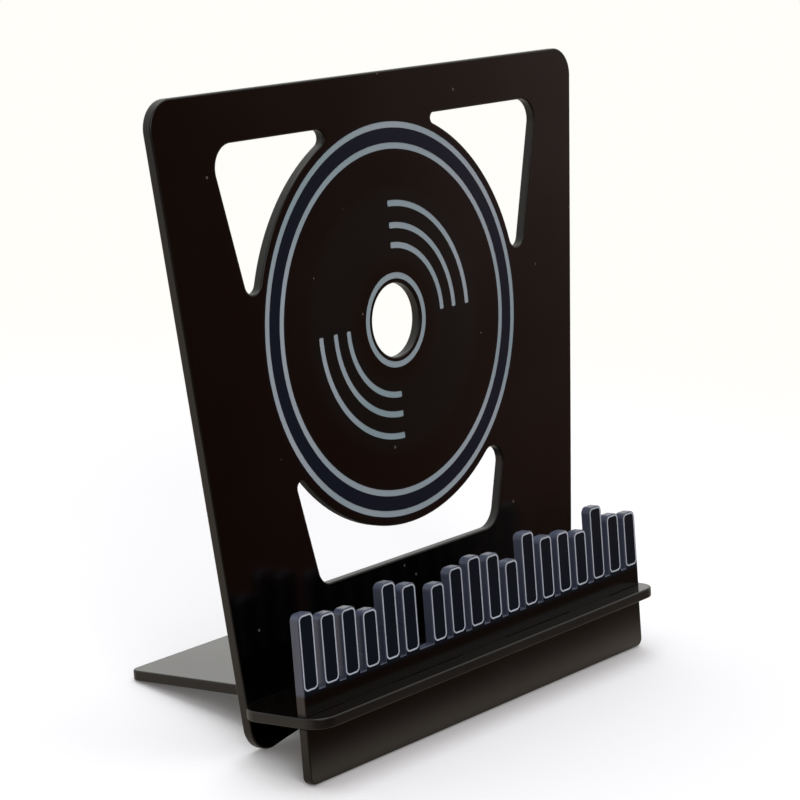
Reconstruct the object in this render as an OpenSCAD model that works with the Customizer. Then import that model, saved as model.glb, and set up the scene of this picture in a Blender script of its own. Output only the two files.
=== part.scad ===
// Record display stand: a leaning keystone panel with a disc motif, a flat
// shelf whose narrow tail runs on behind the panel as the rear leg, a crest
// plate standing on the shelf and an apron plate under it as the front foot.
// All four plates are cut from one sheet and meet square to each other. The
// whole set is tipped back by the lean angle, so that the foot of the apron
// and the end of the tail stand on the ground.
// Millimetres, +Z up, front towards -Y. Origin: middle of the footprint, on
// the ground.

/* [Sheet] */
// Thickness of the sheet that every plate is cut from
sheet_t = 3.8; // [3:0.1:5]
// Play of the tail in the slot of the panel, on each side
slot_play = 0.1; // [0.05:0.05:0.3]

/* [Panel] */
// Width of the panel along its top edge
panel_top_w = 240; // [220:1:290]
// Angle at which each side edge draws in towards the bottom
panel_taper = 6.2; // [4:0.1:8]
// Length of the panel above the shelf
panel_above = 209; // [195:1:260]
// Gap between the feet of the panel and the ground
foot_clearance = 0.1; // [0.05:0.05:3]
// How far the lower edge of the panel arches up between its two feet
panel_arch = 8; // [2:0.5:9]
// Radius of the four outer corners of the panel
panel_corner_r = 10; // [4:0.5:13]

/* [Disc motif] */
// Radius of the round field that the three windows leave standing
disc_r = 75; // [60:0.5:80]
// Radius of the through hole in its middle
hole_r = 13.5; // [9:0.5:18]
// Distance from the hole to the middle of the circle round it
hole_line_gap = 2.7; // [2:0.1:5]
// Distance from the edge of the disc to the middle of the outer circle
rim_line_gap = 4.3; // [2:0.1:6]
// Distance between the two outer circles
rim_line_pitch = 7.6; // [4:0.1:9]
// Radii of the quarter arcs, at the middle of the line
arc_radii = [27.2, 34.4, 42.4]; // [26:0.1:43]
// Width of every line on the disc
line_w = 2.3; // [1:0.1:3]
// Depth of the engraved lines
line_depth = 0.4; // [0.2:0.1:0.8]

/* [Windows] */
// Gap between the top edge of the panel and the upper windows
window_top_gap = 17.5; // [12:0.1:24]
// How far the disc runs up past the top edge of the windows
crown_lap = 2.5; // [1.5:0.1:5]
// How far the disc runs out past the side edges of the windows, left and right
side_lap = [3.4, 2.6]; // [2:0.1:6]
// Angle at which the window sides draw in towards the bottom, left and right
window_taper = [13.8, 15.5]; // [10:0.1:18]
// Height of the bottom window under the lowest point of the disc
floor_gap = 12; // [10:0.5:20]
// Radius of the outer corners of the upper windows, left and right
window_corner_r = [8.5, 7.5]; // [3:0.5:12]
// Radius of the lower corners of the bottom window, left and right
floor_corner_r = [6, 9]; // [2:0.5:10]
// Radius where the top edge runs out at the disc, left and right
crown_tip_r = [3, 2]; // [1:0.1:4]
// Radius where the side of an upper window runs out at the disc, left and right
side_tip_r = [4.2, 4.4]; // [1:0.1:6]
// Radius where a side of the bottom window runs out at the disc, left and right
floor_tip_r = [2.5, 6]; // [1:0.1:9]

/* [Shelf] */
// Clear width of the channel between the panel and the crest plate
channel_w = 25.8; // [15:0.5:40]
// How far the shelf stands out in front of the crest plate
shelf_lip = 8; // [4:0.5:15]
// How far the shelf stands out past each end of the crest plate
shelf_end = 2; // [1:0.5:10]
// Radius of the four corners of the shelf in front of the panel
shelf_corner_r = 8; // [2:0.5:9]
// Width of panel left standing beside the slot for the tail, on each side
tail_margin = 18.8; // [14:0.2:40]
// Length of the tail behind the front face of the panel
tail_l = 74.5; // [60:0.5:110]
// Radius of the two rear corners of the tail
tail_corner_r = 4; // [2:0.5:15]

/* [Crest and apron] */
// Width of the crest plate and of the apron plate
front_w = 201; // [170:1:245]
// Height of the plain strip under the crest bars
crest_strip_h = 8; // [5:0.5:15]
// Height of the tallest crest bar above the strip
bar_max_h = 29; // [24:0.5:40]
// Height of the shortest crest bar above the strip
bar_min_h = 19; // [8:0.5:23]
// Radius of the upper corners of each bar
bar_corner_r = 2.4; // [1.7:0.1:3]
// Height of the apron below the top face of the shelf
apron_drop = 24.3; // [20:0.5:40]
// Radius of the two lower corners of the apron
apron_corner_r = 3; // [1:0.5:8]
// Number of bars in the left group
bars_left = 6; // [3:1:8]
// Number of bars in the right group
bars_right = 12; // [6:1:14]
// Gap between two bars
bar_gap = 3; // [2:0.1:4]
// Gap between the two groups of bars
group_gap = 8; // [5:0.5:12]
// Width of the line that follows the edge of each bar
bar_line_w = 0.6; // [0.5:0.1:1]
// Distance of that line from the edge of the bar
bar_line_inset = 0.4; // [0.3:0.1:0.6]

/* [Tabs] */
// Distance between neighbouring tabs that join the crest and the apron to the shelf
tab_gap = 7.5; // [5:0.5:15]

/* [Hidden] */

// How far a cut runs past the face that it opens
overcut = 1;
// Radius of the plain corners of a plate
edge_r = 0.5;
// Angle of each facet on round corners that are drawn point by point: the ones
// of the windows, of the bars and of the panel, then the disc and the arch
window_facet = 10;
bar_facet = 18;
corner_facet = 5;
disc_facet = 2;
arch_facet = 1;

black_sheet = [0.09, 0.075, 0.07];
pale_line = [0.66, 0.67, 0.70];

// The foot of the apron and the end of the tail touch the ground together.
crest_y = -channel_w - sheet_t;
shelf_front_y = crest_y - shelf_lip;
lean = atan((apron_drop - sheet_t) / (tail_l + channel_w));
ground_drop = apron_drop * cos(lean) - channel_w * sin(lean);

// Footprint along Y of the leaning set, from the lip to the end of the tail
// or the top of the panel, whichever lies further back.
back_top_y = sheet_t * cos(lean) + panel_above * sin(lean);
back_tail_y = tail_l * cos(lean);
back_y = max(back_top_y, back_tail_y);
front_y = min(shelf_front_y * cos(lean) - sheet_t * sin(lean),
              crest_y * cos(lean) - apron_drop * sin(lean));
mid_y = (front_y + back_y) / 2;

// The feet of the panel end just clear of the ground.
panel_below = (ground_drop - foot_clearance - sheet_t * sin(lean)) / cos(lean);
function panel_w(z) = panel_top_w - 2 * (panel_above - z) * tan(panel_taper);

// The tail keeps the same margin to both edges of the panel, and the shelf
// runs past both ends of the crest plate.
tail_w = panel_w(0) - 2 * tail_margin;
shelf_w = front_w + 2 * shelf_end;

// The disc hangs from the top edge of the windows, and their side edges and
// their floor follow the disc.
disc_z = panel_above - window_top_gap - disc_r + crown_lap;

module lean_back() {
    translate([0, -mid_y, ground_drop]) rotate([-lean, 0, 0]) children();
}

// A flat outline in the plane of the panel becomes a plate whose front face
// is at front and whose back face is depth further back.
module upright(front, depth) {
    translate([0, front + depth, 0]) rotate([90, 0, 0])
        linear_extrude(height = depth) children();
}

// Rounding of a convex outline: each corner of the outline gives way to a
// circle that touches both of its edges.
function unit(v) = v / norm(v);
function corner_in(p, i) = unit(p[(i + len(p) - 1) % len(p)] - p[i]);
function corner_out(p, i) = unit(p[(i + 1) % len(p)] - p[i]);
function half_angle(p, i) = acos(corner_in(p, i) * corner_out(p, i)) / 2;
function reach(p, r, i) = r[i] / tan(half_angle(p, i));
function corner_centre(p, r, i) =
    p[i] + unit(corner_in(p, i) + corner_out(p, i)) * r[i] / sin(half_angle(p, i));

module rounded(p, r) {
    polygon([for (i = [0 : len(p) - 1]) each
        [p[i] + corner_in(p, i) * reach(p, r, i),
         p[i] + corner_out(p, i) * reach(p, r, i)]]);
    for (i = [0 : len(p) - 1]) translate(corner_centre(p, r, i))
        circle(r = r[i], $fn = 96);
}

function arc(c, r, a0, a1, step = window_facet) =
    let (n = ceil(abs(a1 - a0) / step))
    [for (i = [0 : n]) c + r * [cos(a0 + (a1 - a0) * i / n), sin(a0 + (a1 - a0) * i / n)]];
function heading(v) = atan2(v[1], v[0]);
function mirrored(p) = [for (i = [1 : len(p)]) [-p[len(p) - i][0], p[len(p) - i][1]]];
function without_ends(p) = [for (i = [1 : len(p) - 2]) p[i]];

// The panel is a keystone on two feet. Its lower edge is one long arc that
// touches the round corner at each foot.
keystone = [[-panel_w(-panel_below) / 2, -panel_below], [panel_w(-panel_below) / 2, -panel_below],
            [panel_top_w / 2, panel_above], [-panel_top_w / 2, panel_above]];
keystone_r = [for (i = [0 : 3]) panel_corner_r];
foot = corner_centre(keystone, keystone_r, 1);
shoulder = corner_centre(keystone, keystone_r, 2);
arch_r = (pow(foot[0], 2) + pow(panel_arch, 2)) / (2 * panel_arch) - panel_corner_r;
arch_centre = [0, panel_arch - panel_below - arch_r];
arch_end = heading(foot - arch_centre);

module back_panel_outline() {
    right = concat(arc(foot, panel_corner_r, arch_end - 180, -panel_taper, corner_facet),
                   arc(shoulder, panel_corner_r, -panel_taper, 90, corner_facet));
    arch = arc(arch_centre, arch_r, 180 - arch_end, arch_end, arch_facet);
    polygon(concat(right, mirrored(right), without_ends(arch)));
}

// The windows are what a keystone leaves round the disc, measured from the
// centre of the disc. Each function is written for the right half, and k picks
// the sizes of the left or the right one. An edge of the keystone is given by
// its unit normal n and its distance d from the centre of the disc.
crown_n = [0, 1];
crown_d = disc_r - crown_lap;
function side_n(k) = [cos(window_taper[k]), -sin(window_taper[k])];
function side_d(k) = disc_r - side_lap[k];
floor_d = disc_r + floor_gap;

// Centre of the circle of radius r that touches an edge and the disc. It lies
// along the edge, to the left of its normal where way is 1.
function tip(n, d, r, way) =
    n * (d - r) + [-n[1], n[0]] * way * sqrt(pow(disc_r + r, 2) - pow(d - r, 2));
function crown_tip(k) = tip(crown_n, crown_d, crown_tip_r[k], -1);
function side_tip(k) = tip(side_n(k), side_d(k), side_tip_r[k], 1);
function floor_tip(k) = tip(side_n(k), side_d(k), floor_tip_r[k], -1);

// Centre of the circle of radius r that touches the side edge, at height z.
function beside(k, z, r) =
    [(side_d(k) - r + z * sin(window_taper[k])) / cos(window_taper[k]), z];

// The edge of the disc from one tip to the next, without its two end points.
function disc_edge(a0, a1) = without_ends(arc([0, 0], disc_r, a0, a1, disc_facet));

module upper_window(k) {
    crown = heading(crown_tip(k));
    side = heading(side_tip(k));
    r = window_corner_r[k];
    polygon(concat(arc(crown_tip(k), crown_tip_r[k], crown + 180, 90),
                   arc(beside(k, crown_d - r, r), r, 90, -window_taper[k]),
                   arc(side_tip(k), side_tip_r[k], -window_taper[k], side - 180),
                   disc_edge(side, crown)));
}

function floor_side(k) =
    let (r = floor_corner_r[k])
    concat(arc(floor_tip(k), floor_tip_r[k], heading(floor_tip(k)) + 180, -window_taper[k]),
           arc(beside(k, r - floor_d, r), r, -window_taper[k], -90));

module bottom_window() {
    polygon(concat(floor_side(1), mirrored(floor_side(0)),
                   disc_edge(-180 - heading(floor_tip(0)), heading(floor_tip(1)))));
}

module windows_outline() {
    translate([0, disc_z]) {
        mirror([1, 0]) upper_window(0);
        upper_window(1);
        bottom_window();
    }
}

// Lines on the disc: full circles, and quarter arcs with square ends in the
// upper right and the lower left quarter.
module ring(r, w) {
    difference() {
        circle(r = r + w / 2, $fn = 180);
        circle(r = r - w / 2, $fn = 180);
    }
}

module quarter_arc(r, w, turn) {
    rotate(turn) intersection() {
        ring(r, w);
        square(2 * r);
    }
}

outer_line_r = disc_r - rim_line_gap;
circle_radii = [hole_r + hole_line_gap, outer_line_r - rim_line_pitch, outer_line_r];

module disc_lines_outline() {
    translate([0, disc_z]) {
        for (r = circle_radii) ring(r, line_w);
        for (r = arc_radii, turn = [0, 180]) quarter_arc(r, line_w, turn);
    }
}

module back_panel() {
    color(black_sheet) lean_back() difference() {
        upright(0, sheet_t) back_panel_outline();
        upright(-overcut, sheet_t + 2 * overcut) windows_outline();
        translate([0, -overcut, disc_z]) rotate([-90, 0, 0])
            cylinder(r = hole_r, h = sheet_t + 2 * overcut, $fn = 96);
        translate([-tail_w / 2 - slot_play, -overcut, -sheet_t - slot_play])
            cube([tail_w + 2 * slot_play, sheet_t + 2 * overcut, sheet_t + 2 * slot_play]);
        upright(-overcut, overcut + line_depth) disc_lines_outline();
    }
}

// The tabs of the crest and of the apron take turns along one line of slots.
tab_pitch = front_w / 6;
tab_l = tab_pitch - tab_gap;
crest_tabs = [-2, 0, 2] * tab_pitch;
apron_tabs = [-1, 1] * tab_pitch;

module tabs(places, play) {
    for (x = places) translate([x - tab_l / 2 - play, crest_y - play, -sheet_t])
        cube([tab_l + 2 * play, sheet_t + 2 * play, sheet_t]);
}

module shelf_plate() {
    color(black_sheet) lean_back() difference() {
        translate([0, 0, -sheet_t]) linear_extrude(height = sheet_t) {
            rounded([[-shelf_w / 2, shelf_front_y], [shelf_w / 2, shelf_front_y],
                     [shelf_w / 2, 0], [-shelf_w / 2, 0]],
                    [for (i = [0 : 3]) shelf_corner_r]);
            rounded([[-tail_w / 2, -channel_w / 2], [tail_w / 2, -channel_w / 2],
                     [tail_w / 2, tail_l], [-tail_w / 2, tail_l]],
                    [edge_r, edge_r, tail_corner_r, tail_corner_r]);
        }
        for (z = [-overcut, overcut]) translate([0, 0, z])
            tabs(concat(crest_tabs, apron_tabs), slot_play);
    }
}

// Crest bars: upright bars in two groups, of heights that rise and fall.
bar_count = bars_left + bars_right;
bar_w = (front_w - group_gap - (bar_count - 2) * bar_gap) / bar_count;
function bar_x(i) =
    -front_w / 2 + i * (bar_w + bar_gap) + (i < bars_left ? 0 : group_gap - bar_gap);
function swing(i) = 0.5 + 0.3 * sin(100 * i + 20) + 0.2 * cos(165 * i);
function bar_h(i) = bar_min_h + (bar_max_h - bar_min_h) * swing(i);

// One round corner of bar i, drawn in by inset. It starts at angle a, and x and
// z pick the corner: 1 for the right or the upper one, -1 for the other.
function bar_corner(i, inset, x, z, a) =
    let (r = bar_corner_r - inset, w = bar_w / 2 - bar_corner_r, h = bar_h(i) / 2 - bar_corner_r)
    arc([bar_x(i) + bar_w / 2 + x * w, crest_strip_h + bar_h(i) / 2 + z * h],
        r, a, a + 90, bar_facet);
function bar_top(i, inset) =
    concat(bar_corner(i, inset, 1, 1, 0), bar_corner(i, inset, -1, 1, 90));

module bar_loop(i, inset) {
    polygon(concat(bar_top(i, inset), bar_corner(i, inset, -1, -1, 180),
                   bar_corner(i, inset, 1, -1, 270)));
}

module crest_lines_outline() {
    for (i = [0 : bar_count - 1]) difference() {
        bar_loop(i, bar_line_inset);
        bar_loop(i, bar_line_inset + bar_line_w);
    }
}

// The strip and all its bars in one outline, from the right end to the left.
module crest_outline() {
    polygon([[-front_w / 2, 0], [front_w / 2, 0], each bar_top(bar_count - 1, 0),
             for (i = [bar_count - 1 : -1 : 1]) each
                 concat([[bar_x(i), crest_strip_h], [bar_x(i - 1) + bar_w, crest_strip_h]],
                        bar_top(i - 1, 0))]);
}

module crest_plate() {
    color(black_sheet) lean_back() {
        difference() {
            upright(crest_y, sheet_t) crest_outline();
            upright(crest_y - overcut, overcut + line_depth) crest_lines_outline();
        }
        tabs(crest_tabs, 0);
    }
}

module apron_plate() {
    color(black_sheet) lean_back() {
        upright(crest_y, sheet_t)
            rounded([[-front_w / 2, -apron_drop], [front_w / 2, -apron_drop],
                     [front_w / 2, -sheet_t], [-front_w / 2, -sheet_t]],
                    [apron_corner_r, apron_corner_r, edge_r, edge_r]);
        tabs(apron_tabs, 0);
    }
}

module disc_lines() {
    color(pale_line) lean_back() upright(0, line_depth) disc_lines_outline();
}

module crest_lines() {
    color(pale_line) lean_back() upright(crest_y, line_depth) crest_lines_outline();
}

back_panel();
shelf_plate();
crest_plate();
apron_plate();
disc_lines();
crest_lines();
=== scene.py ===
import bpy
import math
from mathutils import Matrix, Vector


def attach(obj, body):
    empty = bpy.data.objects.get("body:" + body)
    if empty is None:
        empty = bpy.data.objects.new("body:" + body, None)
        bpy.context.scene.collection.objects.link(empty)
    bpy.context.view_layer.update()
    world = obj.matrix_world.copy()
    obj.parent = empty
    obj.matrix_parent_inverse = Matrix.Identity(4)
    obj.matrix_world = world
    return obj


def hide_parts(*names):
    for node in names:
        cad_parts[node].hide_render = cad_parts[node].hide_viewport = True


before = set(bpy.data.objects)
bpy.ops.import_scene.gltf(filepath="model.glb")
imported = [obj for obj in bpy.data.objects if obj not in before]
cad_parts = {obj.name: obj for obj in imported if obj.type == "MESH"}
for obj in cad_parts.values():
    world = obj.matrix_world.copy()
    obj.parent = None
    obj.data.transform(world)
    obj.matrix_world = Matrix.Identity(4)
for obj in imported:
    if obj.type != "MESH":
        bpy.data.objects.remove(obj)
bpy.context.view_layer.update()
bpy.ops.object.select_all(action="DESELECT")
scene = bpy.context.scene
scene.view_settings.view_transform = "Standard"

# All drawing sizes are in millimetres and degrees, as in the part's source.
MM = 0.001

SHEET = 3.8
PLAY = 0.1

# The panel, with heights from the top of the shelf.
PANEL_TOP_W = 240
PANEL_TAPER = 6.2
PANEL_ABOVE = 209
PANEL_BELOW = 18.14805
PANEL_ARCH = 8
PANEL_CORNER = 10

# The disc, its hole, and the middle radii of its circles and quarter arcs.
DISC_R = 75
DISC_Z = 119
HOLE_R = 13.5
CIRCLES = [16.2, 63.1, 70.7]
ARCS = [27.2, 34.4, 42.4]
LINE_W = 2.3
LINE_DEPTH = 0.4
LINE_SUNK = 0.08
LINE_END = 0.6

# The windows. A pair holds the sizes on the left and on the right.
CROWN_LAP = 2.5
FLOOR_GAP = 12
SIDE_LAP = [3.4, 2.6]
WINDOW_TAPER = [13.8, 15.5]
WINDOW_CORNER = [8.5, 7.5]
FLOOR_CORNER = [6, 9]
CROWN_TIP = [3, 2]
SIDE_TIP = [4.2, 4.4]
FLOOR_TIP = [2.5, 6]

# The shelf and its tail.
CHANNEL = 25.8
LIP = 8
SHELF_END = 2
SHELF_CORNER = 8
TAIL_W = 156.99
TAIL_L = 74.5
TAIL_CORNER = 4

# The crest with its bars, and the apron below it.
FRONT_W = 201
STRIP_H = 8
BAR_MAX = 29
BAR_MIN = 19
BAR_CORNER = 2.4
BARS_LEFT = 6
BARS_RIGHT = 12
BAR_GAP = 3
GROUP_GAP = 8
BAR_LINE_W = 0.6
BAR_LINE_INSET = 0.4
APRON_DROP = 24.3
APRON_CORNER = 3
PLAIN_CORNER = 1.6
TAB_GAP = 7.5

# The heights of the bars swing about their middle in two waves, which turn on from bar to bar.
SWING_MIDDLE = 0.5
FIRST_WAVE = 0.3
FIRST_TURN = 100
FIRST_START = 20
SECOND_WAVE = 0.2
SECOND_TURN = 165

# The whole set leans back about X, then moves to the middle of its footprint.
LEAN = math.radians(11.55141)
MID_Y = 17.6958
GROUND_DROP = 18.6414
CREST_Y = -CHANNEL - SHEET

# How far the edges are rounded over. The crest bars and the fills of the lines allow less.
SOFT_EDGE = 0.6
CREST_SOFT = 0.34
DISC_LINE_SOFT = 0.1
BAR_LINE_SOFT = 0.05
SOFT_STEPS = 4
# Width of the narrow faces that keep the flat faces flat beside a rounded edge.
HOLDING = 0.12
# How far a cutter stands out of the sheet that it cuts.
OVERCUT = 1

# Facets of an arc, in degrees. Arcs wider than COARSE_R get finer ones.
PLATE_FACET = 4
DISC_FACET = 2.5
APRON_FACET = 6
BAR_FACET = 9
BAR_LINE_FACET = 11.25
COARSE_R = 90

# Shorter lines than this aren't drawn, and points nearer to each other than this are joined.
LEAST_LINE = 0.0001
JOIN = 0.002
# How upright the normal of a raw slab's top or bottom is, and that of a finished flat face.
CAP_NORMAL = 0.9
FLAT_NORMAL = 0.999
# Faces that meet at a smaller angle than this are shaded as one surface.
SMOOTH_ANGLE = 31


# Drawing: wires in the plane of a plate, and plates cut to them.

def polar(x, y, r, angle):
    return (x + r * math.cos(math.radians(angle)), y + r * math.sin(math.radians(angle)))


def heading(point):
    return math.degrees(math.atan2(point[1], point[0]))


def is_arc(item):
    return len(item) == 5


def start_of(item):
    return polar(*item[:4]) if is_arc(item) else item


def line_to(here, there):
    """Extrudes the selected point of the wire in a straight line."""
    step = (there[0] - here[0], there[1] - here[1])
    if math.hypot(*step) > LEAST_LINE:
        bpy.ops.mesh.extrude_vertices_move(
            TRANSFORM_OT_translate={"value": (step[0] * MM, step[1] * MM, 0)})
    return there


def draw(path, facet):
    """One closed wire in the open mesh: points (x, y), and arcs (x, y, radius, from, to)."""
    first = here = start_of(path[0])
    bpy.ops.mesh.primitive_plane_add(size=MM, location=(first[0] * MM, first[1] * MM, 0))
    bpy.ops.mesh.merge(type="CENTER")
    for item in path:
        here = line_to(here, start_of(item))
        if is_arc(item):
            x, y, r, start, end = item
            turn = end - start
            step = facet * min(1, COARSE_R / r)
            bpy.ops.mesh.spin(steps=max(2, math.ceil(abs(turn) / step)), angle=-math.radians(turn),
                              center=(x * MM, y * MM, 0), axis=(0, 0, 1))
            here = polar(x, y, r, end)
    line_to(here, first)
    bpy.ops.mesh.select_all(action="SELECT")
    bpy.ops.mesh.remove_doubles(threshold=JOIN * MM)


def circle(r, y=0):
    return [(0, y, r, 0, 360)]


def box(x0, y0, x1, y1):
    return [(x0, y0), (x1, y0), (x1, y1), (x0, y1)]


def rounded(corners, radii):
    """A convex outline, counter-clockwise, with an arc in place of each corner."""
    path = []
    for i, p in enumerate(corners):
        p = Vector(p)
        before = (Vector(corners[i - 1]) - p).normalized()
        after = (Vector(corners[(i + 1) % len(corners)]) - p).normalized()
        half = before.angle(after) / 2
        middle = p + (before + after).normalized() * radii[i] / math.sin(half)
        start = heading(Vector((before.y, -before.x)) * -1)
        end = heading(Vector((after.y, -after.x)))
        if end < start:
            end += 360
        path.append((middle.x, middle.y, radii[i], start, end))
    return path


def pick(piece, test):
    """Selects the faces that pass the test, in edit mode."""
    bpy.ops.object.mode_set(mode="OBJECT")
    for group in (piece.data.vertices, piece.data.edges):
        for element in group:
            element.select = False
    for polygon in piece.data.polygons:
        polygon.select = test(polygon)
    bpy.ops.object.mode_set(mode="EDIT")


def soften(depth):
    """Rounds the rim of the selected flat faces, and adds a holding ring inside it."""
    for i in range(SOFT_STEPS):
        start = math.radians(90 * i / SOFT_STEPS)
        end = math.radians(90 * (i + 1) / SOFT_STEPS)
        bpy.ops.mesh.inset(thickness=depth * MM * (math.cos(start) - math.cos(end)),
                           depth=depth * MM * (math.sin(end) - math.sin(start)))
    bpy.ops.mesh.inset(thickness=min(HOLDING, depth) * MM, depth=0)


def slab(name, wires, low, high, soft=0.0, soft_below=True, facet=PLATE_FACET):
    """A flat piece between two heights of the drawing, cut to the wires."""
    bpy.ops.object.select_all(action="DESELECT")
    bpy.ops.mesh.primitive_plane_add(size=MM, location=(0, 0, 0))
    piece = bpy.context.object
    piece.name = piece.data.name = name
    bpy.ops.object.mode_set(mode="EDIT")
    bpy.ops.mesh.select_mode(type="VERT")
    bpy.ops.mesh.delete(type="VERT")
    for wire in wires:
        draw(wire, facet)
    bpy.ops.mesh.fill(use_beauty=True)
    bpy.ops.mesh.select_mode(type="FACE")
    bpy.ops.mesh.select_all(action="SELECT")
    foot = low + soft if soft_below else low
    bpy.ops.transform.translate(value=(0, 0, foot * MM))
    rise = high - soft - foot
    steps = [HOLDING, rise - 2 * HOLDING, HOLDING] if soft else [rise]
    for step in steps:
        bpy.ops.mesh.extrude_region_move(TRANSFORM_OT_translate={"value": (0, 0, step * MM)})
    bpy.ops.mesh.select_all(action="SELECT")
    bpy.ops.mesh.normals_make_consistent(inside=False)
    if soft:
        top = (high - soft - HOLDING / 2) * MM
        pick(piece, lambda cap: cap.center.z > top and cap.normal.z > CAP_NORMAL)
        soften(soft)
        if soft_below:
            bottom = (foot + HOLDING / 2) * MM
            pick(piece, lambda cap: cap.center.z < bottom and cap.normal.z < -CAP_NORMAL)
            soften(soft)
    bpy.ops.object.mode_set(mode="OBJECT")
    return piece


def carve(piece, cutter):
    """Takes the cutter out of the piece."""
    bpy.ops.object.select_all(action="DESELECT")
    bpy.context.view_layer.objects.active = piece
    piece.select_set(True)
    cut = piece.modifiers.new("cut", "BOOLEAN")
    cut.operation = "DIFFERENCE"
    cut.solver = "EXACT"
    cut.object = cutter
    bpy.ops.object.modifier_apply(modifier=cut.name)
    piece.select_set(False)
    cutter.select_set(True)
    bpy.context.view_layer.objects.active = cutter
    bpy.ops.object.delete()
    bpy.context.view_layer.objects.active = piece


def place(piece, upright, front=0.0):
    """Stands an upright piece up with its face at front, then leans it with the set."""
    bpy.ops.object.select_all(action="DESELECT")
    bpy.context.view_layer.objects.active = piece
    piece.select_set(True)
    lean = Matrix.Rotation(-LEAN, 4, "X")
    stand = Matrix.Rotation(math.radians(90), 4, "X") if upright else Matrix.Identity(4)
    piece.matrix_world = (Matrix.Translation((0, -MID_Y * MM, GROUND_DROP * MM)) @ lean
                          @ Matrix.Translation((0, front * MM, 0)) @ stand)
    bpy.context.view_layer.update()
    bpy.ops.object.transform_apply(location=True, rotation=True, scale=True)


def on_panel(height):
    """A point on the middle line of the panel's face, as it leans, in metres."""
    p = Matrix.Rotation(-LEAN, 3, "X") @ Vector((0, 0, height))
    return Vector((p.x, p.y - MID_Y, p.z + GROUND_DROP)) * MM


# Outlines of the plates, of the windows and of the lines.

def panel_w(height):
    return PANEL_TOP_W - 2 * (PANEL_ABOVE - height) * math.tan(math.radians(PANEL_TAPER))


def panel_outline():
    """A keystone on two feet, whose lower edge is one long arc from foot to foot."""
    corners = rounded(
        [(-panel_w(-PANEL_BELOW) / 2, -PANEL_BELOW), (panel_w(-PANEL_BELOW) / 2, -PANEL_BELOW),
         (PANEL_TOP_W / 2, PANEL_ABOVE), (-PANEL_TOP_W / 2, PANEL_ABOVE)], [PANEL_CORNER] * 4)
    foot_x, foot_z = corners[1][:2]
    arch_r = (foot_x ** 2 + PANEL_ARCH ** 2) / (2 * PANEL_ARCH) - PANEL_CORNER
    arch_z = PANEL_ARCH - PANEL_BELOW - arch_r
    end = heading((foot_x, foot_z - arch_z))
    return [(0, arch_z, arch_r, 180 - end, end),
            (foot_x, foot_z, PANEL_CORNER, end - 180, -PANEL_TAPER),
            (*corners[2][:3], -PANEL_TAPER, 90), (*corners[3][:3], 90, 180 + PANEL_TAPER),
            (-foot_x, foot_z, PANEL_CORNER, 180 + PANEL_TAPER, 360 - end)]


# Edges of the windows: how far each lies from the disc's centre, and which way the sides face.
CROWN_D = DISC_R - CROWN_LAP
SIDE_D = [DISC_R - lap for lap in SIDE_LAP]
FLOOR_D = DISC_R + FLOOR_GAP
SIDE_N = [(math.cos(math.radians(taper)), -math.sin(math.radians(taper))) for taper in WINDOW_TAPER]


def tip(n, d, r, way):
    """Centre of the circle of radius r that touches an edge and the disc."""
    along = way * math.sqrt((DISC_R + r) ** 2 - (d - r) ** 2)
    return (n[0] * (d - r) - n[1] * along, n[1] * (d - r) + n[0] * along)


def beside(k, z, r):
    """How far out the centre of a circle of radius r lies that touches the side at height z."""
    return (SIDE_D[k] - r - z * SIDE_N[k][1]) / SIDE_N[k][0]


def lift(path, mirrored=False):
    """Moves the arcs of a window from the disc's centre to their place, mirrored for the left."""
    if mirrored:
        return [(-x, y + DISC_Z, r, 180 - end, 180 - start) for x, y, r, start, end in reversed(path)]
    return [(x, y + DISC_Z, r, start, end) for x, y, r, start, end in path]


def upper_window(k):
    crown = tip((0, 1), CROWN_D, CROWN_TIP[k], -1)
    side = tip(SIDE_N[k], SIDE_D[k], SIDE_TIP[k], 1)
    r = WINDOW_CORNER[k]
    z = CROWN_D - r
    return lift([(*crown, CROWN_TIP[k], heading(crown) + 180, 90),
                 (beside(k, z, r), z, r, 90, -WINDOW_TAPER[k]),
                 (*side, SIDE_TIP[k], -WINDOW_TAPER[k], heading(side) - 180),
                 (0, 0, DISC_R, heading(side), heading(crown))], mirrored=k == 0)


def floor_side(k):
    """The centre of one tip of the bottom window, and the arcs from there to its floor."""
    low = tip(SIDE_N[k], SIDE_D[k], FLOOR_TIP[k], -1)
    r = FLOOR_CORNER[k]
    z = r - FLOOR_D
    return low, [(*low, FLOOR_TIP[k], heading(low) + 180, -WINDOW_TAPER[k]),
                 (beside(k, z, r), z, r, -WINDOW_TAPER[k], -90)]


def bottom_window():
    left, left_path = floor_side(0)
    right, right_path = floor_side(1)
    return lift(right_path) + lift(left_path, mirrored=True) + lift(
        [(0, 0, DISC_R, -180 - heading(left), heading(right))])


def quarter(r, turn):
    """A line along a quarter circle, with softly rounded ends."""
    outer, inner, q = r + LINE_W / 2, r - LINE_W / 2, LINE_END
    far = math.degrees(math.asin(q / (outer - q)))
    near = math.degrees(math.asin(q / (inner + q)))
    a0, a1 = turn, turn + 90

    def corner(radius, angle, start, end):
        return (*polar(0, DISC_Z, radius, angle), q, start, end)

    return [(0, DISC_Z, outer, a0 + far, a1 - far),
            corner(outer - q, a1 - far, a1 - far, a1 + 90),
            corner(inner + q, a1 - near, a1 + 90, a1 - near + 180),
            (0, DISC_Z, inner, a1 - near, a0 + near),
            corner(inner + q, a0 + near, a0 + near + 180, a0 + 270),
            corner(outer - q, a0 + far, a0 - 90, a0 + far)]


def disc_line_wires():
    wires = []
    for r in CIRCLES:
        wires += [circle(r + LINE_W / 2, DISC_Z), circle(r - LINE_W / 2, DISC_Z)]
    for r in ARCS:
        for turn in (0, 180):
            wires.append(quarter(r, turn))
    return wires


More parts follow.
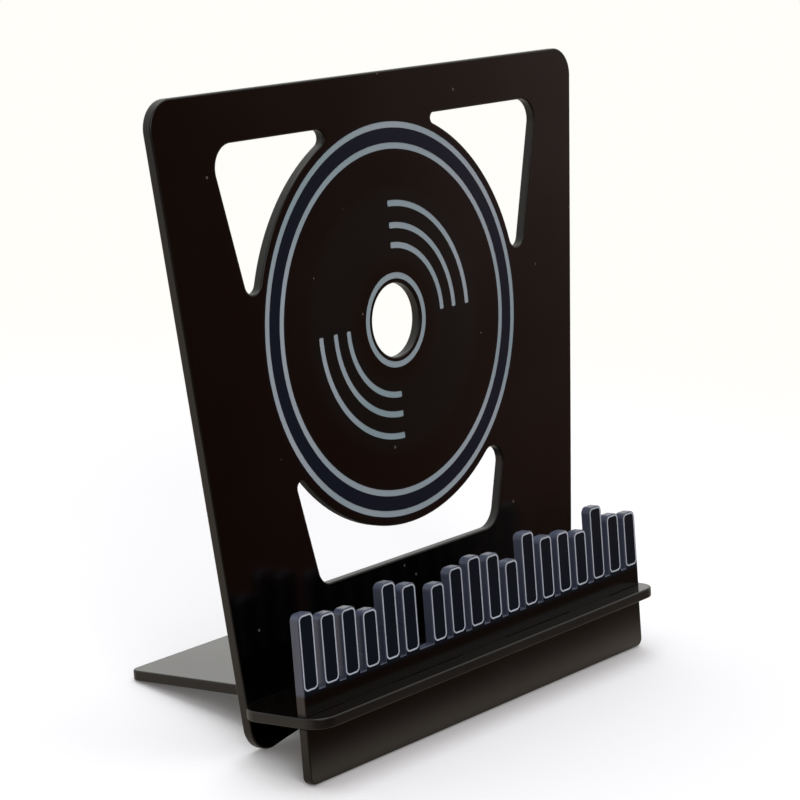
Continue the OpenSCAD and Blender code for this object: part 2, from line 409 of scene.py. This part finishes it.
# Five tabs at an even pitch, those of the crest and of the apron in turn.
TAB_PITCH = FRONT_W / 6
TAB_L = TAB_PITCH - TAB_GAP
CREST_TABS = [-2 * TAB_PITCH, 0, 2 * TAB_PITCH]
APRON_TABS = [-TAB_PITCH, TAB_PITCH]


def tab_points(places, base, end):
    """The outline along an edge with tabs, from the left to the right."""
    points = []
    for x in places:
        left, right = x - TAB_L / 2, x + TAB_L / 2
        points += [(left, base), (left, end), (right, end), (right, base)]
    return points


def shelf_outline():
    w, t, lip, r = (FRONT_W / 2 + SHELF_END, TAIL_W / 2, CREST_Y - LIP, SHELF_CORNER)
    return [(-w + r, lip + r, r, 180, 270), (w - r, lip + r, r, 270, 360),
            (w - r, -r, r, 0, 90), (t, 0),
            (t - TAIL_CORNER, TAIL_L - TAIL_CORNER, TAIL_CORNER, 0, 90),
            (-t + TAIL_CORNER, TAIL_L - TAIL_CORNER, TAIL_CORNER, 90, 180),
            (-t, 0), (-w + r, -r, r, 90, 180)]


def slot_outline(x):
    half = TAB_L / 2 + PLAY
    return box(x - half, CREST_Y - PLAY, x + half, CREST_Y + SHEET + PLAY)


BARS = BARS_LEFT + BARS_RIGHT
BAR_W = (FRONT_W - GROUP_GAP - (BARS - 2) * BAR_GAP) / BARS


def bar_x(i):
    return -FRONT_W / 2 + i * (BAR_W + BAR_GAP) + (0 if i < BARS_LEFT else GROUP_GAP - BAR_GAP)


def bar_h(i):
    swing = (SWING_MIDDLE + FIRST_WAVE * math.sin(math.radians(FIRST_TURN * i + FIRST_START))
             + SECOND_WAVE * math.cos(math.radians(SECOND_TURN * i)))
    return BAR_MIN + (BAR_MAX - BAR_MIN) * swing


def bar_loop(i, inset):
    x0, x1 = bar_x(i) + inset, bar_x(i) + BAR_W - inset
    y0, y1 = STRIP_H + inset, STRIP_H + bar_h(i) - inset
    return rounded(box(x0, y0, x1, y1), [BAR_CORNER - inset] * 4)


def crest_outline():
    """The strip with its tabs, and each bar on it with the upper two corners rounded."""
    path = [(-FRONT_W / 2, 0)] + tab_points(CREST_TABS, 0, -SHEET) + [(FRONT_W / 2, 0)]
    for i in reversed(range(BARS)):
        path += bar_loop(i, 0)[2:]
        if i:
            path += [(bar_x(i), STRIP_H), (bar_x(i - 1) + BAR_W, STRIP_H)]
    return path


def crest_line_wires():
    wires = []
    for i in range(BARS):
        wires += [bar_loop(i, BAR_LINE_INSET), bar_loop(i, BAR_LINE_INSET + BAR_LINE_W)]
    return wires


def apron_outline():
    w, e = FRONT_W / 2, PLAIN_CORNER
    top = tab_points(APRON_TABS, -SHEET, 0)
    return ([(-w + APRON_CORNER, -APRON_DROP + APRON_CORNER, APRON_CORNER, 180, 270),
             (w - APRON_CORNER, -APRON_DROP + APRON_CORNER, APRON_CORNER, 270, 360),
             (w - e, -SHEET - e, e, 0, 90)] + list(reversed(top))
            + [(-w + e, -SHEET - e, e, 90, 180)])


# Finishes.

def feed(tree, node, inputs):
    """Gives each input named a value of its own, or the output of another node."""
    for name, value in inputs.items():
        if isinstance(value, bpy.types.NodeSocket):
            tree.links.new(value, node.inputs[name])
        else:
            node.inputs[name].default_value = value


def new_node(tree, kind, inputs=None, **settings):
    node = tree.nodes.new(kind)
    for name, value in settings.items():
        setattr(node, name, value)
    feed(tree, node, inputs or {})
    return node


def new_material(name):
    material = bpy.data.materials.new(name)
    material.use_nodes = True
    return material, material.node_tree


def ranged(tree, value, source, target, eased=True):
    """Carries a value from one range over to another, eased at both ends or straight."""
    node = new_node(tree, "ShaderNodeMapRange",
                    {"Value": value, "From Min": source[0], "From Max": source[1],
                     "To Min": target[0], "To Max": target[1]},
                    interpolation_type="SMOOTHSTEP" if eased else "LINEAR")
    return node.outputs["Result"]


def opaque(colour):
    return (*colour, 1) if isinstance(colour, tuple) else colour


def mixed(tree, share, first, second):
    """The second colour over the first, by its share. Each is a colour or a node's output."""
    node = new_node(tree, "ShaderNodeMix",
                    {"Factor": share, "A": opaque(first), "B": opaque(second)}, data_type="RGBA")
    return node.outputs["Result"]


def camera_sees(tree, seen, mirrored):
    """One shader for the camera, and another for what the stand mirrors and is lit by."""
    path = new_node(tree, "ShaderNodeLightPath")
    either = new_node(tree, "ShaderNodeMixShader",
                      {"Fac": path.outputs["Is Camera Ray"], 1: mirrored, 2: seen})
    return either.outputs["Shader"]


def group_sockets(tree, inputs, outputs):
    for name, kind, value in inputs:
        socket = tree.interface.new_socket(name, in_out="INPUT", socket_type=kind)
        if value is not None:
            socket.default_value = value
    for name, kind in outputs:
        tree.interface.new_socket(name, in_out="OUTPUT", socket_type=kind)
    return tree.nodes.new("NodeGroupInput").outputs, tree.nodes.new("NodeGroupOutput")


def grain_group():
    """Fine moulded grain with a slow drift: a height for the bump, and the drift as a mask."""
    tree = bpy.data.node_groups.new("sheet_grain", "ShaderNodeTree")
    given, result = group_sockets(
        tree, [("Vector", "NodeSocketVector", None), ("Fine", "NodeSocketFloat", 900.0),
               ("Slow", "NodeSocketFloat", 14.0), ("Share", "NodeSocketFloat", 0.35)],
        [("Height", "NodeSocketFloat"), ("Drift", "NodeSocketFloat")])
    fine = new_node(tree, "ShaderNodeTexNoise",
                    {"Vector": given["Vector"], "Scale": given["Fine"], "Detail": 3.0})
    slow = new_node(tree, "ShaderNodeTexNoise",
                    {"Vector": given["Vector"], "Scale": given["Slow"], "Detail": 2.0})
    blend = new_node(tree, "ShaderNodeMix",
                     {"Factor": given["Share"], "A": slow.outputs["Fac"], "B": fine.outputs["Fac"]},
                     data_type="FLOAT")
    drift = ranged(tree, slow.outputs["Fac"], (0.3, 0.7), (0.0, 1.0), eased=False)
    feed(tree, result, {"Height": blend.outputs["Result"], "Drift": drift})
    return tree


def dust_group():
    """Sparse specks of dust: a mask of small round dots, most of them left out."""
    tree = bpy.data.node_groups.new("dust_specks", "ShaderNodeTree")
    given, result = group_sockets(
        tree, [("Vector", "NodeSocketVector", None), ("Scale", "NodeSocketFloat", 160.0),
               ("Size", "NodeSocketFloat", 0.09), ("Sparse", "NodeSocketFloat", 0.965)],
        [("Mask", "NodeSocketFloat")])
    cells = new_node(tree, "ShaderNodeTexVoronoi", {"Vector": given["Vector"], "Scale": given["Scale"]})
    dot = new_node(tree, "ShaderNodeMath", {0: cells.outputs["Distance"], 1: given["Size"]},
                   operation="LESS_THAN")
    split = new_node(tree, "ShaderNodeSeparateColor", {"Color": cells.outputs["Color"]})
    few = new_node(tree, "ShaderNodeMath", {0: split.outputs["Red"], 1: given["Sparse"]},
                   operation="GREATER_THAN")
    both = new_node(tree, "ShaderNodeMath", {0: dot.outputs["Value"], 1: few.outputs["Value"]},
                    operation="MULTIPLY")
    feed(tree, result, {"Mask": both.outputs["Value"]})
    return tree


GRAIN = grain_group()
DUST = dust_group()
DUST_TONE = (0.11, 0.10, 0.09)
# Depth of the grain, in metres.
RELIEF = 0.0004
# Height over which the plain colour of the strip gives way to the painted reflection of the bars.
LOW_BLEND = 2.0


def stretched(tree, place_of, stretch):
    """The place in the upright set, scaled so that the grain is drawn out one way."""
    upright = new_node(tree, "ShaderNodeMapping",
                       {"Vector": place_of, "Rotation": (-LEAN, 0, 0)}, vector_type="TEXTURE")
    drawn_out = new_node(tree, "ShaderNodeMapping",
                         {"Vector": upright.outputs["Vector"], "Scale": stretch})
    return drawn_out.outputs["Vector"]


def painted_sheen_ring(tree, place_of, colour, sheen_ring):
    """The colour, with a painted reflection of another colour in a ring round the disc's centre."""
    shade, middle, half, edge = sheen_ring
    away = new_node(tree, "ShaderNodeVectorMath", {0: place_of, 1: on_panel(DISC_Z)},
                    operation="DISTANCE")
    off = new_node(tree, "ShaderNodeMath", {0: away.outputs["Value"], 1: middle * MM},
                   operation="SUBTRACT")
    width = new_node(tree, "ShaderNodeMath", {0: off.outputs["Value"]}, operation="ABSOLUTE")
    ring = ranged(tree, width.outputs["Value"], (half * MM, (half + edge) * MM), (1.0, 0.0))
    return mixed(tree, ring, colour, shade)


def low_coloured(tree, place_of, colour, low):
    """The tone with painted reflection above the strip of the crest, and the plain colour on the strip.
    """
    up = Matrix.Rotation(-LEAN, 3, "X") @ Vector((0, 0, 1))
    top = on_panel(STRIP_H).dot(up)
    height = new_node(tree, "ShaderNodeVectorMath", {0: place_of, 1: up}, operation="DOT_PRODUCT")
    above = ranged(tree, height.outputs["Value"], (top - LOW_BLEND * MM, top), (0.0, 1.0))
    return mixed(tree, above, low, colour)


def finish(name, tones, rough, bump, specular=0.5, sheen_rings=(), low=None, stretch=None, dust=True):
    """A sheet or line finish: grain, and tone and roughness that drift between two values.

    Each of the sheen rings is a painted reflection of another colour in a ring round the disc's
    centre, and low is the plain colour of the strip under the crest bars, whose tones above it are
    painted reflection. stretch draws the grain out one way, as a cutter leaves it.
    """
    material, tree = new_material(name)
    place_of = new_node(tree, "ShaderNodeTexCoord").outputs["Object"]
    where = stretched(tree, place_of, stretch) if stretch else place_of
    grain = new_node(tree, "ShaderNodeGroup", {"Vector": where}, node_tree=GRAIN)
    drift = grain.outputs["Drift"]
    colour = mixed(tree, drift, *tones)
    for sheen_ring in sheen_rings:
        colour = painted_sheen_ring(tree, place_of, colour, sheen_ring)
    if low:
        colour = low_coloured(tree, place_of, colour, low)
    if dust:
        specks = new_node(tree, "ShaderNodeGroup", {"Vector": place_of}, node_tree=DUST)
        colour = mixed(tree, specks.outputs["Mask"], colour, DUST_TONE)
    relief = new_node(tree, "ShaderNodeBump",
                      {"Strength": bump, "Distance": RELIEF, "Height": grain.outputs["Height"]})
    feed(tree, tree.nodes["Principled BSDF"],
         {"Base Color": colour, "Specular IOR Level": specular, "Normal": relief.outputs["Normal"],
          "Roughness": ranged(tree, drift, (0.0, 1.0), rough, eased=False)})
    return material


BLACK = ((0.0020, 0.0014, 0.0011), (0.0034, 0.0024, 0.0019))
SATIN = (0.14, 0.20)
# Painted reflection in blue rings on the front: colour, middle radius, half the width, soft edge.
OUTER_SHEEN_RING = ((0.0008, 0.0095, 0.0250), 67, 2.5, 4)
INNER_SHEEN_RING = ((0.0008, 0.0040, 0.0050), 35, 9, 7)
# The grain of a cut edge is drawn out across the sheet: in Y upright, and in Z lying flat.
UPRIGHT_CUT = (1.0, 0.04, 1.0)
FLAT_CUT = (1.0, 1.0, 0.04)

# The panel's front carries the two rings of painted reflection.
panel_face = finish("black_sheet_panel", tones=((0.0009, 0.0005, 0.0004), (0.0017, 0.0009, 0.0007)),
                    rough=(0.13, 0.18), bump=0.04, sheen_rings=(OUTER_SHEEN_RING, INNER_SHEEN_RING))
plain_face = finish("black_sheet_plain", tones=BLACK, rough=SATIN, bump=0.04)
shelf_face = finish("black_sheet_shelf", tones=BLACK, rough=SATIN, bump=0.04, specular=0.60)
upright_edge = finish("cut_edge_upright", tones=((0.0016, 0.0016, 0.0012), (0.0034, 0.0033, 0.0027)),
                      rough=(0.30, 0.42), bump=0.10, specular=0.38, stretch=UPRIGHT_CUT, dust=False)
flat_edge = finish("cut_edge_flat", tones=((0.0036, 0.0037, 0.0032), (0.0062, 0.0062, 0.0055)),
                   rough=(0.34, 0.46), bump=0.10, specular=0.38, stretch=FLAT_CUT, dust=False)
# Blue tones on the bars' faces and edges are painted reflection; the strip keeps its plain low colour.
crest_sheen_face = finish("black_sheet_crest_sheen", tones=((0.0020, 0.0075, 0.0150), (0.0040, 0.0110, 0.0210)),
                    rough=SATIN, bump=0.05, specular=0.35, low=(0.0012, 0.0010, 0.0010))
crest_sheen_edge = finish("cut_edge_crest_sheen", tones=((0.052, 0.062, 0.100), (0.086, 0.104, 0.156)),
                    rough=(0.24, 0.40), bump=0.12, low=(0.016, 0.012, 0.010), stretch=UPRIGHT_CUT,
                    dust=False)
disc_line = finish("pale_line_disc", tones=((0.30, 0.44, 0.50), (0.50, 0.57, 0.66)),
                   rough=(0.50, 0.65), bump=0.25, specular=0.4, dust=False)
crest_line = finish("pale_line_crest", tones=((0.58, 0.66, 0.78), (0.70, 0.79, 0.92)),
                    rough=(0.50, 0.65), bump=0.25, specular=0.4, dust=False)


def paint(piece, face, edge, back):
    """A finish each for the front, the rims and walls, and the back, before the piece is placed."""
    for material in (face, edge, back):
        piece.data.materials.append(material)
    bpy.ops.object.shade_smooth_by_angle(angle=math.radians(SMOOTH_ANGLE))
    for polygon in piece.data.polygons:
        up = polygon.normal.z
        polygon.material_index = 0 if up > FLAT_NORMAL else 2 if up < -FLAT_NORMAL else 1
    pick(piece, lambda polygon: abs(polygon.normal.z) > FLAT_NORMAL)
    bpy.ops.mesh.faces_shade_flat()
    bpy.ops.object.mode_set(mode="OBJECT")


def keep(o, node):
    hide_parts(node)
    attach(o, "root")


# The stand.

panel = slab("back_panel_soft",
             [panel_outline(), upper_window(0), upper_window(1), bottom_window(),
              circle(HOLE_R, DISC_Z)],
             -SHEET, 0, SOFT_EDGE, facet=DISC_FACET)
carve(panel, slab("tail_slot", [box(-TAIL_W / 2 - PLAY, -SHEET - PLAY, TAIL_W / 2 + PLAY, PLAY)],
                  -SHEET - OVERCUT, OVERCUT))
carve(panel, slab("disc_engraving", disc_line_wires(), -LINE_DEPTH, OVERCUT, facet=DISC_FACET))
paint(panel, panel_face, upright_edge, plain_face)
place(panel, upright=True)
keep(panel, "back_panel")

shelf = slab("shelf_soft", [shelf_outline()], -SHEET, 0, SOFT_EDGE)
carve(shelf, slab("tab_slots", [slot_outline(x) for x in CREST_TABS + APRON_TABS],
                  -SHEET - OVERCUT, OVERCUT))
paint(shelf, shelf_face, flat_edge, plain_face)
place(shelf, upright=False)
keep(shelf, "shelf_plate")

crest = slab("crest_soft", [crest_outline()], -SHEET, 0, CREST_SOFT, facet=BAR_FACET)
carve(crest, slab("crest_engraving", crest_line_wires(), -LINE_DEPTH, OVERCUT, facet=BAR_LINE_FACET))
paint(crest, crest_sheen_face, crest_sheen_edge, crest_sheen_face)
place(crest, upright=True, front=CREST_Y)
keep(crest, "crest_plate")

apron = slab("apron_soft", [apron_outline()], -SHEET, 0, SOFT_EDGE, facet=APRON_FACET)
paint(apron, plain_face, upright_edge, plain_face)
place(apron, upright=True, front=CREST_Y)
keep(apron, "apron_plate")

disc_lines = slab("disc_lines_soft", disc_line_wires(), -LINE_DEPTH, -LINE_SUNK, DISC_LINE_SOFT,
                  soft_below=False, facet=DISC_FACET)
paint(disc_lines, disc_line, disc_line, disc_line)
place(disc_lines, upright=True)
keep(disc_lines, "disc_lines")

crest_lines = slab("crest_lines_soft", crest_line_wires(), -LINE_DEPTH, 0, BAR_LINE_SOFT,
                   soft_below=False, facet=BAR_LINE_FACET)
paint(crest_lines, crest_line, crest_line, crest_line)
place(crest_lines, upright=True, front=CREST_Y)
keep(crest_lines, "crest_lines")


# The floor, the light and the camera, in metres.

BACKDROP = (1.0, 0.990, 0.955, 1)

FLOOR_R = 0.62
FLOOR_SIDES = 96
# The floor's own look falls from this share to nothing between two distances from the stand.
FLOOR_FADE = (0.24, 0.54)
FLOOR_SHARE = (0.90, 0.0)
FLOOR_TONE = (0.83, 0.838, 0.875, 1)
# What the stand mirrors: dark at the nearer end of this stretch in Y, light beyond it.
MIRRORED_STRETCH = (-0.12, -0.05)
MIRRORED_DARK = (0.06, 0.035, 0.025)
MIRRORED_LIGHT = (0.66, 0.59, 0.52)

# The room runs from a dark warm side in front to a bright wall behind the stand, along one axis.
ROOM_AXIS = (0.47, 0.81, 0.35)
ROOM_SPAN = (-0.5, 0.5)
ROOM_TONES = [(0.24, (0.060, 0.020, 0.012)), (0.33, (0.130, 0.060, 0.036)),
              (0.40, (0.180, 0.105, 0.085)), (0.46, (0.40, 0.27, 0.24)),
              (0.60, (0.80, 0.79, 0.77)), (0.75, (1.0, 1.0, 0.97))]

# Name, place, aim, width and power in watts of each lamp.
LAMPS = [("softbox_front_left", (-0.85, -1.20, 1.10), (0, 0, 0.10), 1.0, 13),
         ("softbox_above", (0.15, 0.35, 1.60), (0, 0, 0.05), 1.2, 14)]

# The camera stands to the left of the front and a little above, as in the photograph.
CAMERA_AT = (-0.77272, -0.58508, 0.39087)
RIGHT = Vector((0.62141, -0.77928, 0.08116))
UP = Vector((0.17251, 0.23714, 0.95604))
AHEAD = Vector((0.76426, 0.58009, -0.28179))
LENS = 124.595
SENSOR = 36
NEAREST = 0.01


def floor_finish():
    """Pale floor: it fades into the backdrop at its rim, and takes a faint soft shadow.

    The stand itself mirrors a floor that falls off into the dark in front of it.
    """
    material, tree = new_material("pale_floor")
    tree.nodes.remove(tree.nodes["Principled BSDF"])
    place_of = new_node(tree, "ShaderNodeTexCoord").outputs["Object"]
    away = new_node(tree, "ShaderNodeVectorMath", {0: place_of}, operation="LENGTH")
    rim = ranged(tree, away.outputs["Value"], FLOOR_FADE, FLOOR_SHARE)
    own = new_node(tree, "ShaderNodeBsdfDiffuse", {"Color": FLOOR_TONE})
    glow = new_node(tree, "ShaderNodeEmission", {"Color": BACKDROP})
    seen = new_node(tree, "ShaderNodeMixShader",
                    {"Fac": rim, 1: glow.outputs["Emission"], 2: own.outputs["BSDF"]})
    split = new_node(tree, "ShaderNodeSeparateXYZ", {"Vector": place_of})
    behind = ranged(tree, split.outputs["Y"], MIRRORED_STRETCH, (0.0, 1.0))
    mirrored = new_node(tree, "ShaderNodeBsdfDiffuse",
                        {"Color": mixed(tree, behind, MIRRORED_DARK, MIRRORED_LIGHT)})
    surface = camera_sees(tree, seen.outputs["Shader"], mirrored.outputs["BSDF"])
    feed(tree, tree.nodes["Material Output"], {"Surface": surface})
    return material


def studio():
    """The room that lights the stand, with a plain backdrop for the camera."""
    world = bpy.data.worlds.new("studio")
    world.use_nodes = True
    tree = world.node_tree
    direction = new_node(tree, "ShaderNodeTexCoord").outputs["Generated"]
    toward = new_node(tree, "ShaderNodeVectorMath", {0: direction, 1: ROOM_AXIS},
                      operation="DOT_PRODUCT")
    along = ranged(tree, toward.outputs["Value"], ROOM_SPAN, (0.0, 1.0), eased=False)
    tone = new_node(tree, "ShaderNodeValToRGB", {"Fac": along})
    stops = tone.color_ramp.elements
    while len(stops) < len(ROOM_TONES):
        stops.new(0.5)
    for stop, (at, shade) in zip(stops, ROOM_TONES):
        stop.position = at
        stop.color = opaque(shade)
    room = tree.nodes["Background"]
    feed(tree, room, {"Color": tone.outputs["Color"]})
    backdrop = new_node(tree, "ShaderNodeBackground", {"Color": BACKDROP})
    surface = camera_sees(tree, backdrop.outputs["Background"], room.outputs["Background"])
    feed(tree, tree.nodes["World Output"], {"Surface": surface})
    return world


bpy.ops.object.select_all(action="DESELECT")
bpy.ops.mesh.primitive_circle_add(vertices=FLOOR_SIDES, radius=FLOOR_R, fill_type="NGON",
                                  location=(0, 0, 0))
floor = bpy.context.object
floor.name = "floor"
floor.data.materials.append(floor_finish())

scene.world = studio()

for name, at, aim, width, power in LAMPS:
    turn = (Vector(aim) - Vector(at)).to_track_quat("-Z", "Y").to_euler()
    bpy.ops.object.light_add(type="AREA", location=at, rotation=turn)
    light = bpy.context.object
    light.name = name
    light.data.shape = "SQUARE"
    light.data.size = width
    light.data.energy = power

facing = Matrix((RIGHT, UP, -AHEAD)).transposed().to_euler()
bpy.ops.object.camera_add(location=CAMERA_AT, rotation=facing)
camera = bpy.context.object
camera.data.lens = LENS
camera.data.sensor_width = SENSOR
camera.data.clip_start = NEAREST
scene.camera = camera
